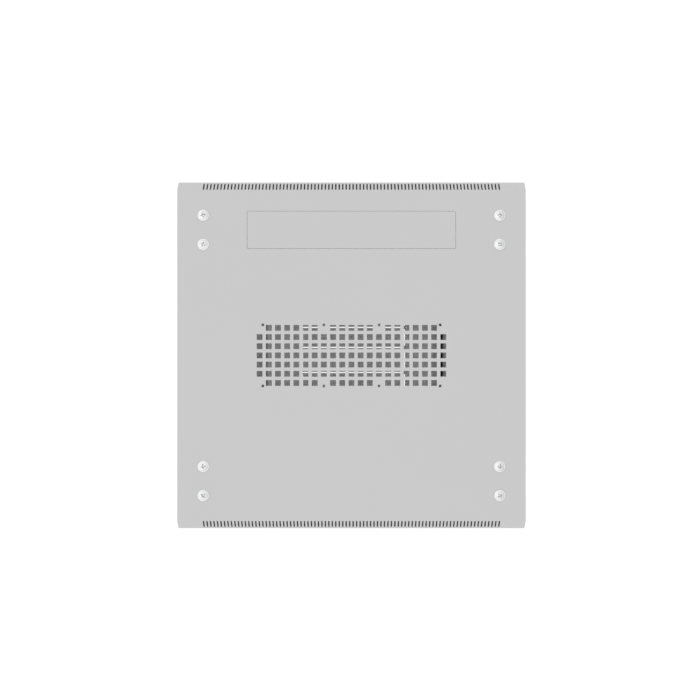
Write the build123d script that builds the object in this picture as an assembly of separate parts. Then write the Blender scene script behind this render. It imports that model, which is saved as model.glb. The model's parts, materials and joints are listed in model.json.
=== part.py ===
from build123d import *

import math
import os

# A free-standing 42U network cabinet, 600 mm wide and 600 mm deep, in millimetres.
# Origin on the floor under the middle of the cabinet. +Z up, front at -Y, +X to the right
# of someone facing the front door. The front door is hinged at -X, the rear door at +X.

# How far a cutter reaches past the face it cuts
CUT = 1.0

# Overall size
WIDTH = 600.0
DEPTH = 600.0
HEIGHT = 2050.0
UNDERSIDE_Z = 80.0

# Sheet and plate thicknesses
COVER_T = 1.5
FRAME_T = 1.5
RAIL_T = 2.0
SKIN_T = 1.2
GUSSET_T = 3.0
BRACKET_T = 3.0

# Roof cover
CHAMFER_RUN = 16.5
CHAMFER_DROP = 18.0
FLANGE_BOTTOM_Z = HEIGHT - 36.0
FLANGE_LIP_Y = 267.0
FOLD_R = 1.5
VENT_COUNT = 86
VENT_PITCH = 6.0
VENT_W = 2.6
VENT_INSET = 2.4
VENT_RUN = 12.5

# Grille in the roof: squares in a grid, less the four places where fan screws would foul
GRILLE_COLUMNS = 21
GRILLE_ROWS = 7
GRILLE_PITCH = 15.8
GRILLE_HOLE = 10.0
GRILLE_SKIPPED_COLUMNS = (3, 10)
FAN_X = 100.0
FAN_HOLE_SPACING = 105.0
FAN_HOLE_D = 5.0

# Cable entry in the roof and its lift-out cover
ENTRY_L = 359.3
ENTRY_W = 65.0
ENTRY_Y = 216.0
ENTRY_R = 3.0
ENTRY_GAP = 0.6
LEDGE_W = 10.0
LEDGE_T = 1.5
LEDGE_OVERHANG = 6.0

# Cover screws: M8, washer-faced truss head with a cross recess
SCREW_X = 255.0
SCREW_YS = (191.0, 241.0)
SCREW_D = 8.0
SCREW_HEAD_D = 19.0
SCREW_HEAD_H = 4.2
SCREW_RIM_H = 1.0
SCREW_L = 14.0
SCREW_HOLE_D = 9.0
RECESS_SPAN = 10.0
RECESS_W = 2.4
RECESS_DEPTH = 6.2
RECESS_PIT_D = 6.0
RECESS_LOW_D = 1.6
NUT_AF = 13.0
NUT_H = 6.5

# Frame
POST_X = (262.0, 298.0)
POST_Y = (226.0, 266.0)
POST_FRONT_LIP = 16.0
POST_SIDE_LIP = 13.0
BEND_R = 3.0
CROSS_BEAM_H = 45.0
DEPTH_BEAM_X = (275.0, 290.5)
DEPTH_BEAM_H = 40.0
GUSSET_X = (235.0, 290.5)
GUSSET_Y = (175.0, 266.0)
GUSSET_CHAMFER = 20.0
MID_Z = 1065.0

# Nineteen-inch mounting rails: 42 units of 44.45 mm, three square holes each
UNITS = 42
UNIT_H = 44.45
UNIT_HOLES = (6.35, 22.225, 38.1)
UNIT_BOTTOM_Z = 131.5
RAIL_HOLE_X = 465.1 / 2
RAIL_HOLE = 9.5
RAIL_X = (225.0, 275.0)
RAIL_Y = (165.0, 200.0)
RAIL_LIP = 13.0
RAIL_Z = (100.0, 2030.0)
RAIL_BRACKET_H = 24.0
RAIL_BRACKET_SETBACK = 12.0
RAIL_BRACKET_LEG = 22.0
RAIL_BOLT_OFFSET = 12.0
RAIL_BOLT_D = 6.0
RAIL_BOLT_AF = 10.0
RAIL_BOLT_HEAD_H = 4.0
RAIL_BOLT_END = 1.0
RAIL_BRACKET_ZS = (108.0, MID_Z, 2018.0)

# Doors
DOOR_FACE_Y = 290.0
DOOR_DEPTH = 16.0
DOOR_X = 298.0
DOOR_Z = (88.0, 2008.0)
DOOR_LIP = 20.0
HINGE_X = 288.0
HINGE_Y = 281.0
PIN_D = 8.0
PIN_CLEARANCE = 0.06
PIN_COLLAR_D = 11.0
PIN_COLLAR_H = 3.0
PIN_L = 34.0
PIN_END = 1.0
HINGE_GAP = 1.0
HINGE_EAR_R = 7.0
HINGE_EAR_IN = 10.0
HINGE_EAR_OUT = 8.0
WINDOW_W = 430.0
WINDOW_MARGIN_Z = 110.0
WINDOW_R = 12.0
GLASS_T = 4.0
GLASS_LAP = 14.0
SEAL_T = 1.2
SEAL_W = 12.0
SEAL_LAP = 13.0
DOOR_SLOT_XS = (238.0, 262.0)
DOOR_SLOT_W = 4.0
DOOR_SLOT_L = 34.0
DOOR_SLOT_PITCH = 48.0
DOOR_SLOT_COUNT = 36
REAR_SLOT_L = 40.0
REAR_SLOT_PITCH = 16.0
REAR_SLOT_COUNT = 27
REAR_SLOT_MARGIN = 90.0
CLIP_T = 1.5
CLIP_H = 24.0
CLIP_LAP = 10.0
CLIP_FOOT = 7.0
CLIP_STANDOFF = 1.0
CLIP_COUNT = 5
CLIP_PITCH = 380.0

# Swing handle on the front door
HANDLE_X = 258.0
HANDLE_Z = 1085.0
HANDLE_BASE_W = 30.0
HANDLE_BASE_L = 190.0
HANDLE_BASE_T = 3.0
HANDLE_BASE_ABOVE = 18.0
HANDLE_BASE_EDGE_R = 1.0
KEY_Z = HANDLE_Z - 156.0
LEVER_W = 22.0
LEVER_L = 150.0
LEVER_T = 6.2
LEVER_GAP = 0.4
LEVER_EDGE_R = 2.0
LEVER_NOTCH_H = 18.0
LEVER_SCOOP = 2.2
SPINDLE_D = 14.0
TONGUE_W = 10.0
TONGUE_H = 8.0
TONGUE_SHORT = 1.0
PIVOT_D = 3.0
PIVOT_CLEARANCE = 0.05
CAM_L = 28.0
CAM_W = 20.0
CAM_T = 3.0
CAM_BEHIND_FACE = 16.5
KEEPER_W = 6.0
KEEPER_H = 36.0
KEEPER_PROUD = 7.0
KEEPER_GAP = 1.0
KEY_D = 12.0
KEY_PROUD = 2.0
KEY_L = 14.0
KEYWAY = (1.2, 6.8, 2.5)
PLUG_CHAMFER = 0.6
BUSH_WALL = 3.0
BUSH_L = 12.0

# Lock on the rear door
REAR_LOCK_Z = 1085.0
REAR_LOCK_X = 262.0
LOCK_BODY_D = 22.0
LOCK_BODY_L = 12.5
LOCK_FLANGE_D = 27.0
LOCK_FLANGE_T = 1.5
LOCK_PLUG_D = 16.0
LOCK_PROUD = 3.5

# Side panels
SIDE_OUTER_X = 298.0
SIDE_Y = 224.0
SIDE_Z = (84.0, 2012.0)
SIDE_RETURN = 6.0
LATCH_Z = 1960.0
LATCH_Y = 150.0
LATCH_WINDOW = (20.0, 60.0)
LATCH_TRAVEL = 10.0
LATCH_GAP = 0.35
LATCH_LAP = 3.0
LATCH_OUTER_T = 1.3
LATCH_INNER_T = 2.0
LATCH_GROOVES = 4
LATCH_GROOVE_PITCH = 5.0
LATCH_GROOVE_W = 1.6
LATCH_GROOVE_DEPTH = 0.8

# Levelling feet and casters
FOOT_X = 278.0
FOOT_Y = 248.0
FOOT_PAD_D = 36.0
FOOT_PAD_H = 6.0
FOOT_PAD_R = 2.0
FOOT_CONE_H = 8.0
FOOT_CONE_RS = (11.0, 8.0)
FOOT_FLATS = 14.0
FOOT_FLATS_H = 8.0
FOOT_HOLE_D = 13.0
FOOT_STEM_D = 12.0
FOOT_STEM_TOP_Z = 118.0
FOOT_NUT_AF = 19.0
FOOT_NUT_H = 8.0
CASTER_X = 188.0
CASTER_Y = 200.0
CASTER_PLATE = 58.0
CASTER_PLATE_T = 2.5
WHEEL_D = 50.0
WHEEL_W = 20.0
WHEEL_LIFT = 4.0
WHEEL_Z = WHEEL_D / 2 + WHEEL_LIFT
WHEEL_TRAIL = 18.0
WHEEL_GAP = 1.0
TREAD_R = 3.0
DISH_D = 34.0
DISH_DEPTH = 2.0
HUB_D = 16.0
AXLE_D = 8.0
AXLE_PROUD = 2.0
FORK_T = 2.5
EAR_R = 9.0
EAR_TOP_W = 20.0
CROWN_T = 4.0
SWIVEL_D = 34.0
RACE_H = 4.0
RACE_GAP = 0.4
KINGPIN_D = 10.0
KINGPIN_L = 8.5
KINGPIN_HEAD_D = 16.0
KINGPIN_HEAD_H = 2.5
CASTER_PLATE_R = 6.0
CASTER_HOLE_XY = 22.0
CASTER_HOLE_D = 6.5

# Earth bonding studs
STUD_X = -120.0
STUD_Y = 200.0
STUD_D = 6.0
STUD_L = 21.0
STUD_NUT_AF = 10.0
STUD_NUT_H = 5.0

# Places that follow from the above
DOOR_MIDDLE_Z = (DOOR_Z[0] + DOOR_Z[1]) / 2
GLASS_OUTER_Y = DOOR_FACE_Y - SKIN_T - SEAL_T
ROOF_UNDER_Z = HEIGHT - COVER_T
BASE_TOP_Z = UNDERSIDE_Z + COVER_T
FRAME_BOTTOM_Z = BASE_TOP_Z + GUSSET_T
FRAME_TOP_Z = ROOF_UNDER_Z - GUSSET_T
QUADRANTS = ((-1, -1), (1, -1), (-1, 1), (1, 1))


def block(x, y, z):
    """A box between two corners, each axis given as (low, high)."""
    size = [high - low for low, high in (x, y, z)]
    return Pos(x[0], y[0], z[0]) * Box(*size, align=(Align.MIN,) * 3)


def span(a, b):
    return (min(a, b), max(a, b))


def rod(diameter, length, place, direction=(0, 0, 1)):
    """A cylinder that starts at place and runs along direction."""
    plane = Plane(origin=place, z_dir=direction)
    return extrude(plane * Circle(diameter / 2), amount=length)


def slab(sketch, z_low, z_high):
    """A flat sketch in plan, given its height."""
    return extrude(Pos(0, 0, z_low) * sketch, amount=z_high - z_low)


def folded(points, thickness, side, radius=BEND_R):
    """The section of a folded sheet whose outer face follows points, with rounded bends."""
    line = FilletPolyline(*points, radius=radius)
    return make_face(offset(line, amount=thickness, side=side))


def place_quadrant(shape, sign_x, sign_y):
    """Mirror a shape drawn in the +X, +Y quarter into another quarter."""
    if sign_x < 0:
        shape = mirror(shape, about=Plane.YZ)
    if sign_y < 0:
        shape = mirror(shape, about=Plane.XZ)
    return shape


def across_flats(width, height, place, direction=(0, 0, 1)):
    """A hexagonal prism of a stated width across flats."""
    plane = Plane(origin=place, z_dir=direction)
    prism = plane * RegularPolygon(width / 2, 6, major_radius=False)
    return extrude(prism, amount=height)


def save(name, *shapes):
    solids = [solid for shape in shapes for solid in shape.solids()]
    whole = solids[0] if len(solids) == 1 else Compound(children=solids)
    whole.label = name
    export_step(whole, f"parts/{name}.step")


def roof_profile(inset, bottom_z):
    """Section of the roof in the YZ plane, moved inwards by inset all round."""
    half = DEPTH / 2 - inset
    slope = math.hypot(CHAMFER_RUN, CHAMFER_DROP)
    knee = inset * (slope - CHAMFER_RUN) / CHAMFER_DROP
    brow = inset * (slope - CHAMFER_DROP) / CHAMFER_RUN
    knee_z = HEIGHT - CHAMFER_DROP - knee
    brow_y = DEPTH / 2 - CHAMFER_RUN - brow
    points = [
        (-half, bottom_z),
        (half, bottom_z),
        (half, knee_z),
        (brow_y, HEIGHT - inset),
        (-brow_y, HEIGHT - inset),
        (-half, knee_z),
    ]
    return make_face(Polyline(*points, close=True))


def roof_vents():
    """Slots through both sloped edges, square to the slope."""
    slope_angle = math.degrees(math.atan2(CHAMFER_DROP, CHAMFER_RUN))
    slot_length = VENT_RUN / math.cos(math.radians(slope_angle))
    run = VENT_INSET + VENT_RUN / 2
    y = DEPTH / 2 - run
    z = HEIGHT - CHAMFER_DROP * (1 - run / CHAMFER_RUN)
    cutter = extrude(SlotOverall(slot_length, VENT_W, rotation=90), amount=4 * COVER_T, both=True)
    slots = []
    for index in range(VENT_COUNT):
        x = (index - (VENT_COUNT - 1) / 2) * VENT_PITCH
        slots.append(Pos(x, y, z) * Rot(X=-slope_angle) * cutter)
        slots.append(Pos(x, -y, z) * Rot(X=slope_angle) * cutter)
    return slots


def grille_holes():
    """Square ventilation holes, the fan screw holes and the four gaps between them."""
    square = Box(GRILLE_HOLE, GRILLE_HOLE, 4 * COVER_T)
    half_columns = GRILLE_COLUMNS // 2
    half_rows = GRILLE_ROWS // 2
    holes = []
    for column in range(-half_columns, half_columns + 1):
        for row in range(-half_rows, half_rows + 1):
            if abs(row) == half_rows and abs(column) in GRILLE_SKIPPED_COLUMNS:
                continue
            holes.append(Pos(column * GRILLE_PITCH, row * GRILLE_PITCH, HEIGHT) * square)
    for fan_x in (-FAN_X, FAN_X):
        for sign_x, sign_y in QUADRANTS:
            x = fan_x + sign_x * FAN_HOLE_SPACING / 2
            y = sign_y * FAN_HOLE_SPACING / 2
            holes.append(rod(FAN_HOLE_D, 4 * COVER_T, (x, y, HEIGHT - 2 * COVER_T)))
    return holes


def screw_places():
    return [(sx * SCREW_X, sy * y) for sx, sy in QUADRANTS for y in SCREW_YS]


def top_panel():
    """The roof: a folded tray whose front and rear flanges turn in to close the vented edges."""
    low = FLANGE_BOTTOM_Z
    outer = extrude(Plane.YZ * roof_profile(0, low), amount=WIDTH / 2, both=True)
    long_edges = outer.edges().filter_by(Axis.X).group_by(Axis.Z)
    end_edges = outer.faces().sort_by(Axis.Z)[-1].edges().filter_by(Axis.Y)
    upright = outer.edges().filter_by(Axis.Z)
    outer = fillet(list(long_edges[1]) + list(long_edges[2]) + list(end_edges) + list(upright), FOLD_R)
    hollow = extrude(
        Plane.YZ * roof_profile(COVER_T, low - COVER_T), amount=WIDTH / 2 - COVER_T, both=True
    )
    cuts = roof_vents() + grille_holes()
    entry = Pos(0, ENTRY_Y) * RectangleRounded(ENTRY_L, ENTRY_W, ENTRY_R)
    cuts.append(slab(entry, HEIGHT - 3 * COVER_T, HEIGHT + COVER_T))
    for x, y in screw_places():
        cuts.append(rod(SCREW_HOLE_D, 4 * COVER_T, (x, y, HEIGHT - 3 * COVER_T)))
    shell = outer - hollow
    inner_x = WIDTH / 2 - COVER_T
    for sign in (-1, 1):
        lip_y = span(sign * FLANGE_LIP_Y, sign * (DEPTH / 2 - COVER_T))
        shell += block((-inner_x, inner_x), lip_y, (low, low + COVER_T))
    return shell - cuts


def cable_entry_ledge():
    """A frame spot-welded under the roof opening that the cover rests on."""
    outline = RectangleRounded(ENTRY_L + 2 * LEDGE_W, ENTRY_W + 2 * LEDGE_W, ENTRY_R)
    hole = RectangleRounded(ENTRY_L - 2 * LEDGE_OVERHANG, ENTRY_W - 2 * LEDGE_OVERHANG, ENTRY_R)
    return slab(Pos(0, ENTRY_Y) * (outline - hole), ROOF_UNDER_Z - LEDGE_T, ROOF_UNDER_Z)


def top_cable_entry_cover():
    cover = RectangleRounded(ENTRY_L - 2 * ENTRY_GAP, ENTRY_W - 2 * ENTRY_GAP, ENTRY_R - ENTRY_GAP)
    return slab(Pos(0, ENTRY_Y) * cover, ROOF_UNDER_Z, HEIGHT)


def screw_recess():
    """The cross recess of a screw head: two tapered wings and a conical pit."""
    high = SCREW_HEAD_H
    low = high - RECESS_DEPTH
    half_high = RECESS_SPAN / 2
    half_low = RECESS_LOW_D / 2
    outline = Polyline((-half_high, high), (half_high, high), (half_low, low), (-half_low, low), close=True)
    wing = extrude(Plane.XZ * make_face(outline), amount=RECESS_W / 2, both=True)
    pit = Pos(0, 0, (low + high) / 2) * Cone(half_low, RECESS_PIT_D / 2, RECESS_DEPTH)
    return wing + Rot(Z=90) * wing + pit


def cover_screw(x, y, face_z, up, turn):
    """One M8 cover screw, its head on the outside of a cover whose face is at face_z."""
    crown = SCREW_HEAD_H - SCREW_RIM_H
    chord = SCREW_HEAD_D / 2 - SCREW_RIM_H
    dome_r = (chord**2 + crown**2) / (2 * crown)
    dome = Pos(0, 0, SCREW_HEAD_H - dome_r) * Sphere(dome_r)
    slice_ = rod(2 * chord, crown, (0, 0, SCREW_RIM_H))
    head = rod(SCREW_HEAD_D, SCREW_RIM_H, (0, 0, 0)) + (dome & slice_)
    shank = rod(SCREW_D, SCREW_L, (0, 0, -SCREW_L))
    shank = chamfer(shank.edges().sort_by(Axis.Z)[0], FRAME_T)
    screw = (head + shank) - Rot(Z=turn) * screw_recess()
    if not up:
        screw = Rot(X=180) * screw
    return Pos(x, y, face_z) * screw


def cover_screws(face_z, up):
    """The eight screws of a cover, each left at its own angle by the screwdriver."""
    first_turn, turn_step = 8, 37
    screws = []
    for index, (x, y) in enumerate(screw_places()):
        screws.append(cover_screw(x, y, face_z, up, first_turn + turn_step * index))
    return screws


def weld_nuts():
    """Hexagon nuts welded inside the corner gussets for the cover screws."""
    nuts = []
    for x, y in screw_places():
        for z in (FRAME_TOP_Z - NUT_H, FRAME_BOTTOM_Z):
            bore = rod(SCREW_D + 2 * PIVOT_CLEARANCE, NUT_H, (x, y, z))
            nuts.append(across_flats(NUT_AF, NUT_H, (x, y, z)) - bore)
    return nuts


def base_knockouts():
    """Slots punched round the base panel's break-out cable entries, with bridges between."""
    slot_w = 4.0
    bridge = 4.0
    columns = (-171.0, 171.0)
    rows = (-150.0, -66.0, 18.0, 85.0, 152.0)
    length_x = columns[1] - columns[0] - slot_w / 2 - bridge
    middle_x = columns[0] + length_x / 2
    slots = []
    for y in rows:
        slots.append(Pos(middle_x, y, UNDERSIDE_Z) * Box(length_x, slot_w, 4 * COVER_T))
    for x in columns:
        for low, high in zip(rows, rows[1:]):
            length_y = high - low - slot_w - 2 * bridge
            slots.append(Pos(x, (low + high) / 2, UNDERSIDE_Z) * Box(slot_w, length_y, 4 * COVER_T))
    return slots


def base_panel():
    plate = slab(RectangleRounded(2 * GUSSET_X[1], 2 * GUSSET_Y[1], BEND_R), UNDERSIDE_Z, BASE_TOP_Z)
    cuts = base_knockouts()
    for x, y in screw_places():
        cuts.append(rod(SCREW_HOLE_D, 4 * COVER_T, (x, y, UNDERSIDE_Z - COVER_T)))
    for sx, sy in QUADRANTS:
        cuts.append(rod(FOOT_HOLE_D, 4 * COVER_T, (sx * FOOT_X, sy * FOOT_Y, UNDERSIDE_Z - COVER_T)))
    return plate - cuts


def corner_post():
    """One post in the +X, +Y quarter: a folded section, open towards the cabinet's inside."""
    (x_in, x_out), (y_in, y_out) = POST_X, POST_Y
    points = [
        (x_in, y_out - POST_FRONT_LIP),
        (x_in, y_out),
        (x_out, y_out),
        (x_out, y_in),
        (x_out - POST_SIDE_LIP, y_in),
    ]
    return slab(folded(points, FRAME_T, Side.RIGHT), FRAME_BOTTOM_Z, FRAME_TOP_Z)


def cross_beam(z_low):
    """A channel across the cabinet at +Y, open towards the inside."""
    y_out = POST_Y[1]
    y_in = y_out - POST_FRONT_LIP
    z_high = z_low + CROSS_BEAM_H
    points = [(y_in, z_high), (y_out, z_high), (y_out, z_low), (y_in, z_low)]
    section = Plane.YZ * folded(points, FRAME_T, Side.RIGHT)
    return extrude(section, amount=POST_X[0], both=True)


def depth_beam(z_edge, leg):
    """An angle from the front post to the rear one at +X; its flat leg is at z_edge."""
    x_in, x_out = DEPTH_BEAM_X
    points = [(x_in, z_edge), (x_out, z_edge), (x_out, z_edge + leg * DEPTH_BEAM_H)]
    side = Side.LEFT if leg > 0 else Side.RIGHT
    section = Plane.XZ * folded(points, FRAME_T, side)
    return extrude(section, amount=POST_Y[0], both=True)


def depth_beams(sign_x):
    beams = [depth_beam(FRAME_BOTTOM_Z + DEPTH_BEAM_H, -1), depth_beam(FRAME_TOP_Z, -1)]
    beams.append(depth_beam(MID_Z - DEPTH_BEAM_H / 2, 1))
    return [place_quadrant(beam, sign_x, 1) for beam in beams]


def corner_gusset(z_low):
    plate = block(GUSSET_X, GUSSET_Y, (z_low, z_low + GUSSET_T))
    inner = plate.edges().filter_by(Axis.Z).sort_by(lambda edge: edge.center().X + edge.center().Y)[0]
    plate = chamfer(inner, GUSSET_CHAMFER)
    holes = []
    for y in SCREW_YS:
        holes.append(rod(SCREW_D + 2 * PIVOT_CLEARANCE, 2 * GUSSET_T, (SCREW_X, y, z_low - CUT)))
    if z_low < MID_Z:
        holes.append(rod(FOOT_HOLE_D, 2 * GUSSET_T, (FOOT_X, FOOT_Y, z_low - CUT)))
    return plate - holes


def corner_gussets():
    plates = [corner_gusset(BASE_TOP_Z), corner_gusset(FRAME_TOP_Z)]
    return [place_quadrant(plate, *signs) for signs in QUADRANTS for plate in plates]


def mounting_rail():
    """One nineteen-inch rail in the +X, +Y quarter, with square holes for cage nuts."""
    (x_in, x_out), (y_in, y_out) = RAIL_X, RAIL_Y
    points = [(x_in, y_out), (x_out, y_out), (x_out, y_in), (x_out - RAIL_LIP, y_in)]
    rail = slab(folded(points, RAIL_T, Side.RIGHT), *RAIL_Z)
    hole = Box(RAIL_HOLE, 4 * RAIL_T, RAIL_HOLE)
    holes = []
    for unit in range(UNITS):
        for offset_z in UNIT_HOLES:
            z = UNIT_BOTTOM_Z + unit * UNIT_H + offset_z
            holes.append(Pos(RAIL_HOLE_X, y_out, z) * hole)
    return rail - holes


def rail_bracket(z):
    """A Z bracket that joins a rail's side leg to a depth beam, in the +X, +Y quarter."""
    rail_face = RAIL_X[1]
    beam_face = DEPTH_BEAM_X[1] - FRAME_T
    web_y = RAIL_Y[1] - RAIL_BRACKET_SETBACK
    leg = RAIL_BRACKET_LEG
    high = (z - RAIL_BRACKET_H / 2, z + RAIL_BRACKET_H / 2)
    rail_leg = block((rail_face, rail_face + RAIL_T), (web_y - leg, web_y), high)
    web = block((rail_face, beam_face), (web_y - RAIL_T, web_y), high)
    beam_leg = block((beam_face - RAIL_T, beam_face), (web_y - RAIL_T, web_y + leg), high)
    return rail_leg + web + beam_leg


def rail_bolt_pair(z):
    """The two M6 bolts of one bracket, heads towards the cabinet's inside."""
    head_h = RAIL_BOLT_HEAD_H
    near_y, far_y = (rail_bolt_places(side)[0][0] for side in (-1, 1))
    rail_grip = (RAIL_X[1] - RAIL_T, RAIL_X[1] + RAIL_T)
    beam_grip = (DEPTH_BEAM_X[1] - FRAME_T - RAIL_T, DEPTH_BEAM_X[1])
    bolts = []
    for y, (low, high) in ((near_y, rail_grip), (far_y, beam_grip)):
        head = across_flats(RAIL_BOLT_AF, head_h, (low - head_h, y, z), (1, 0, 0))
        shank_l = high - low + head_h + RAIL_BOLT_END
        shank = rod(RAIL_BOLT_D, shank_l, (low, y, z), (1, 0, 0))
        nut = across_flats(RAIL_BOLT_AF, head_h, (high, y, z), (1, 0, 0))
        bolts.append(head + shank + nut)
    return bolts


def drill_for_bolts(shape, places):
    """Holes along X for the rail bolts at the given (y, z) places."""
    x_low = RAIL_X[0]
    length = POST_X[1] - x_low
    holes = [rod(RAIL_BOLT_D, length, (x_low, y, z), (1, 0, 0)) for y, z in places]
    return shape - holes


def rail_bolt_places(side):
    """Places of the bolts through a rail (side is -1) or through a depth beam (+1)."""
    y = RAIL_Y[1] - RAIL_BRACKET_SETBACK + side * RAIL_BOLT_OFFSET
    return [(y, z) for z in RAIL_BRACKET_ZS]


def hinge_brackets():
    """Plates welded to the posts that carry the doors' hinge pins."""
    y_back = POST_Y[1]
    y_tip = HINGE_Y + HINGE_EAR_OUT
    ear_x = (HINGE_X - HINGE_EAR_IN, HINGE_X + HINGE_EAR_OUT)
    bore_d = PIN_D + 2 * PIN_CLEARANCE
    plates = []
    for sign_x, sign_y in ((-1, -1), (1, 1)):
        for z in (DOOR_Z[1] + HINGE_GAP, DOOR_Z[0] - HINGE_GAP - BRACKET_T):
            ear = block(ear_x, (y_back, y_tip), (z, z + BRACKET_T))
            ear = fillet(ear.edges().filter_by(Axis.Z).group_by(Axis.Y)[-1], HINGE_EAR_R)
            ear -= rod(bore_d, BRACKET_T + 2 * CUT, (HINGE_X, HINGE_Y, z - CUT))
            plates.append(place_quadrant(ear, sign_x, sign_y))
    return plates


def door_pan(window):
    """A door drawn at +Y with its hinge at +X: a shallow pan with lips, face outwards."""
    face = DOOR_FACE_Y
    inner = face - DOOR_DEPTH
    z_low, z_high = DOOR_Z
    outer = block((-DOOR_X, DOOR_X), (inner, face), DOOR_Z)
    outer = fillet(outer.faces().sort_by(Axis.Y)[-1].edges(), FOLD_R)
    t = SKIN_T
    cavity = block((-DOOR_X + t, DOOR_X - t), (inner + t, face - t), (z_low + t, z_high - t))
    mouth = block(
        (-DOOR_X + DOOR_LIP, DOOR_X - DOOR_LIP),
        (inner - CUT, inner + 2 * t),
        (z_low + DOOR_LIP, z_high - DOOR_LIP),
    )
    pan = outer - [cavity, mouth]
    cuts = []
    for z in (z_low - CUT, z_high - t - CUT):
        cuts.append(rod(PIN_D, t + 2 * CUT, (HINGE_X, HINGE_Y, z)))
    if window:
        cuts.append(door_cutter(RectangleRounded(WINDOW_W, window_height(), WINDOW_R), DOOR_MIDDLE_Z))
        cuts += door_slots()
    else:
        cuts += rear_door_slots()
    return pan - cuts


def window_height():
    return DOOR_Z[1] - DOOR_Z[0] - 2 * WINDOW_MARGIN_Z


def door_sketch_plane(y, z):
    """A plane for sketches that are extruded inwards from y in a door drawn at +Y."""
    return Plane(origin=(0, y, z), x_dir=(1, 0, 0), z_dir=(0, -1, 0))


def door_cutter(sketch, z):
    return extrude(door_sketch_plane(DOOR_FACE_Y + CUT, z) * sketch, amount=SKIN_T + 2 * CUT)


def rear_door_slots():
    """A band of upright ventilation slots near each end of the rear door."""
    cutter = door_cutter(SlotOverall(REAR_SLOT_L, DOOR_SLOT_W, rotation=90), 0)
    slots = []
    for z in (DOOR_Z[0] + REAR_SLOT_MARGIN, DOOR_Z[1] - REAR_SLOT_MARGIN):
        for index in range(REAR_SLOT_COUNT):
            x = (index - (REAR_SLOT_COUNT - 1) / 2) * REAR_SLOT_PITCH
            slots.append(Pos(x, 0, z) * cutter)
    return slots


def door_slots():
    """Columns of upright ventilation slots in the front door's two stiles."""
    cutter = door_cutter(SlotOverall(DOOR_SLOT_L, DOOR_SLOT_W, rotation=90), 0)
    slots = []
    for column_x in DOOR_SLOT_XS:
        for index in range(DOOR_SLOT_COUNT):
            z = DOOR_MIDDLE_Z + (index - (DOOR_SLOT_COUNT - 1) / 2) * DOOR_SLOT_PITCH
            for x in (-column_x, column_x):
                behind_handle = x < 0 and abs(z - HANDLE_Z) < HANDLE_BASE_L / 2 + DOOR_SLOT_L
                if not behind_handle:
                    slots.append(Pos(x, 0, z) * cutter)
    return slots


def door_hinge_pins():
    """Two pins with collars that bear on the inside of the door's end flanges."""
    z_low, z_high = DOOR_Z
    t = SKIN_T
    place = (HINGE_X, HINGE_Y)
    outside = HINGE_GAP + BRACKET_T + PIN_END
    inside = PIN_L - t - outside
    low_pin = rod(PIN_D, PIN_L, (*place, z_low - outside))
    low_pin += rod(PIN_COLLAR_D, PIN_COLLAR_H, (*place, z_low + t))
    washer = rod(PIN_COLLAR_D, HINGE_GAP, (*place, z_low - HINGE_GAP))
    high_pin = rod(PIN_D, PIN_L, (*place, z_high - t - inside))
    high_pin += rod(PIN_COLLAR_D, PIN_COLLAR_H, (*place, z_high - t - PIN_COLLAR_H))
    return [low_pin + washer, high_pin]


def door_cut_for_lock(pan, x, z, diameter):
    return pan - rod(diameter, SKIN_T + 2 * CUT, (x, DOOR_FACE_Y + CUT, z), (0, -1, 0))


def glass_pane():
    sheet = RectangleRounded(WINDOW_W + 2 * GLASS_LAP, window_height() + 2 * GLASS_LAP, WINDOW_R)
    return extrude(door_sketch_plane(GLASS_OUTER_Y, DOOR_MIDDLE_Z) * sheet, amount=GLASS_T)


def glass_seal():
    """A flat rubber frame between the door's sheet and the glass."""
    height = window_height()
    outer = RectangleRounded(WINDOW_W + 2 * SEAL_LAP, height + 2 * SEAL_LAP, WINDOW_R)
    edge = SEAL_LAP - SEAL_W
    inner = RectangleRounded(WINDOW_W + 2 * edge, height + 2 * edge, WINDOW_R)
    plane = door_sketch_plane(DOOR_FACE_Y - SKIN_T, DOOR_MIDDLE_Z)
    return extrude(plane * (outer - inner), amount=SEAL_T)


def glass_clips():
    """Screwed clips that hold the glass against its seal from inside."""
    y_glass = GLASS_OUTER_Y - GLASS_T
    y_sheet = DOOR_FACE_Y - SKIN_T
    x_edge = WINDOW_W / 2 + GLASS_LAP
    x_step = x_edge + CLIP_STANDOFF
    clips = []
    for index in range(CLIP_COUNT):
        z = DOOR_MIDDLE_Z + (index - (CLIP_COUNT - 1) / 2) * CLIP_PITCH
        high = (z, z + CLIP_H)
        pad = block((x_edge - CLIP_LAP, x_step + CLIP_T), (y_glass - CLIP_T, y_glass), high)
        step = block((x_step, x_step + CLIP_T), (y_glass - CLIP_T, y_sheet), high)
        sole = block((x_step, x_edge + CLIP_FOOT), (y_sheet - CLIP_T, y_sheet), high)
        clip = pad + step + sole
        clips += [clip, mirror(clip, about=Plane.YZ)]
    return clips


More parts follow.
